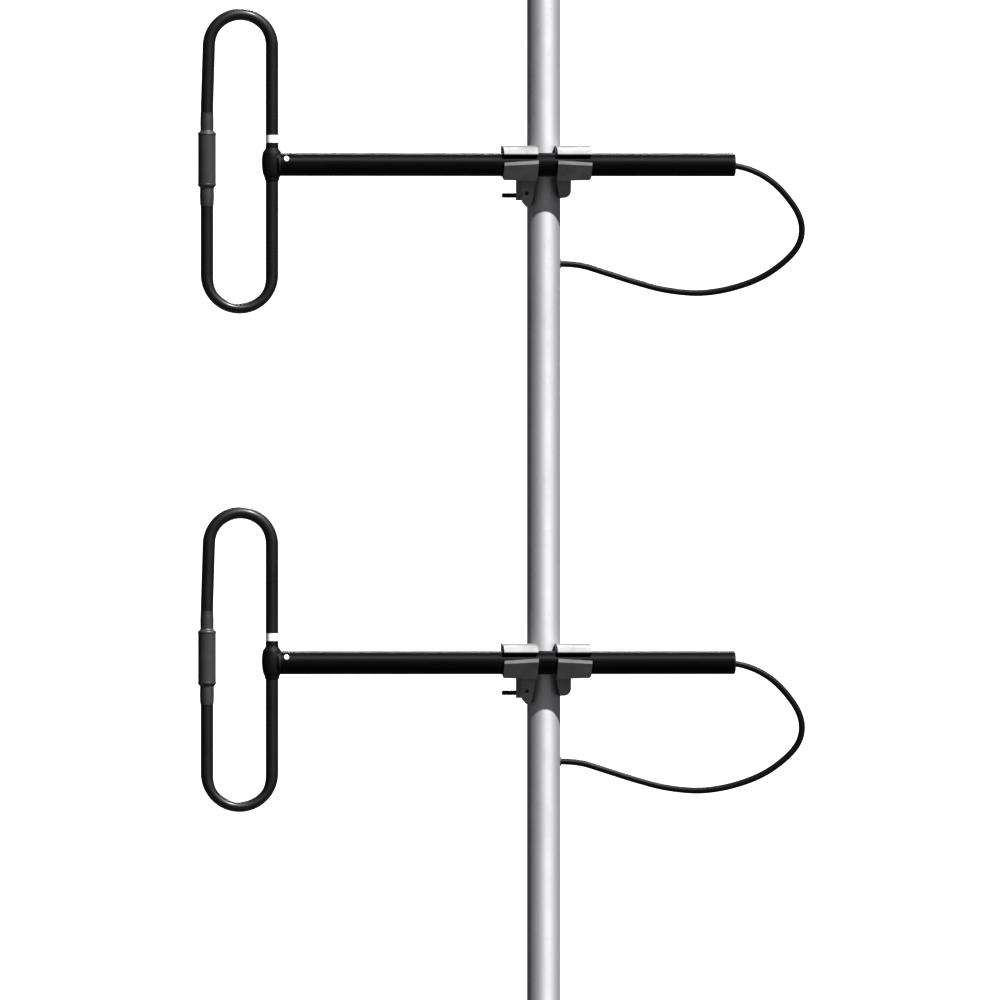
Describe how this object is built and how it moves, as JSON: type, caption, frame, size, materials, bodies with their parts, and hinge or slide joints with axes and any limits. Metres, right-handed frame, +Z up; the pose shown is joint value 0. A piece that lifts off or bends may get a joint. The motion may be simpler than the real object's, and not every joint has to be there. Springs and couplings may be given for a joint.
{
  "type": "folded dipole antenna",
  "caption": "Antenna of folded-dipole loops on booms clamped to a pipe mast, each fed by a coaxial cable that hangs from the boom's end and enters the mast.",
  "frame": {"origin": "on the mast's axis, at the shoulder where the full pipe meets the spigot below it", "axes": "+Z up the mast; -Y is the front, where the booms cross the mast; the loops are at -X and the booms' rear ends at +X"},
  "size_m": [0.6126, 0.0799, 1.183],
  "materials": {
    "mast_aluminium": "satin, weathered",
    "black_coated_tube": "semi-gloss",
    "black_coated_loop": "semi-gloss",
    "black_coated_casting": "semi-gloss",
    "black_plug": "matte",
    "grey_sleeve": "matte",
    "sealing_collar": "matte",
    "white_insulator": "matte",
    "cast_aluminium": "cast, matte",
    "inner_aluminium": "machined",
    "stainless_screw": "satin",
    "dark_stud": "oxidised",
    "cable_jacket": "semi-gloss",
    "black_rubber": "matte",
    "brass": "machined"
  },
  "bodies": {
    "mast": {"mast_tube": "mast_aluminium", "mast_cap": "black_plug", "power_splitter": "inner_aluminium", "output_cable": "cable_jacket", "output_connector": "brass", "lower_mast_grommet": "black_rubber", "lower_harness": "cable_jacket", "upper_mast_grommet": "black_rubber", "upper_harness": "cable_jacket"},
    "lower_clamp": {"lower_clamp_body": "cast_aluminium", "lower_clamp_right_cap": "cast_aluminium", "lower_clamp_left_cap": "cast_aluminium", "lower_clamp_cap_screws": "stainless_screw", "lower_clamp_stud": "dark_stud", "lower_clamp_washer": "stainless_screw", "lower_clamp_nut": "stainless_screw", "lower_loop_cable": "cable_jacket"},
    "lower_boom": {"lower_boom_tube": "black_coated_tube", "lower_boom_plug": "black_plug", "lower_boom_coax": "cable_jacket", "lower_boom_screws": "stainless_screw", "lower_feed_casting": "black_coated_casting", "lower_feed_insulator": "white_insulator", "lower_feed_pin": "brass", "lower_loop_top_arm": "black_coated_loop", "lower_loop_bottom_arm": "black_coated_loop", "lower_joint_sleeve": "grey_sleeve", "lower_joint_collars": "sealing_collar", "lower_joint_spigot": "inner_aluminium"},
    "upper_clamp": {"upper_clamp_body": "cast_aluminium", "upper_clamp_right_cap": "cast_aluminium", "upper_clamp_left_cap": "cast_aluminium", "upper_clamp_cap_screws": "stainless_screw", "upper_clamp_stud": "dark_stud", "upper_clamp_washer": "stainless_screw", "upper_clamp_nut": "stainless_screw", "upper_loop_cable": "cable_jacket"},
    "upper_boom": {"upper_boom_tube": "black_coated_tube", "upper_boom_plug": "black_plug", "upper_boom_coax": "cable_jacket", "upper_boom_screws": "stainless_screw", "upper_feed_casting": "black_coated_casting", "upper_feed_insulator": "white_insulator", "upper_feed_pin": "brass", "upper_loop_top_arm": "black_coated_loop", "upper_loop_bottom_arm": "black_coated_loop", "upper_joint_sleeve": "grey_sleeve", "upper_joint_collars": "sealing_collar", "upper_joint_spigot": "inner_aluminium"}
  },
  "joints": [
    {"name": "lower_azimuth", "type": "hinge", "parent": "mast", "child": "lower_clamp", "pos_m": [0, 0, 0.4], "axis": [0, 0, 1], "range_deg": [-45, 45], "deforming": ["lower_loop_cable"]},
    {"name": "lower_boom_slide", "type": "slide", "parent": "lower_clamp", "child": "lower_boom", "axis": [1, 0, 0], "range_m": [-0.08, 0.08], "deforming": ["lower_loop_cable"]},
    {"name": "upper_azimuth", "type": "hinge", "parent": "mast", "child": "upper_clamp", "pos_m": [0, 0, 0.9], "axis": [0, 0, 1], "range_deg": [-45, 45], "deforming": ["upper_loop_cable"]},
    {"name": "upper_boom_slide", "type": "slide", "parent": "upper_clamp", "child": "upper_boom", "axis": [1, 0, 0], "range_m": [-0.08, 0.08], "deforming": ["upper_loop_cable"]}
  ]
}
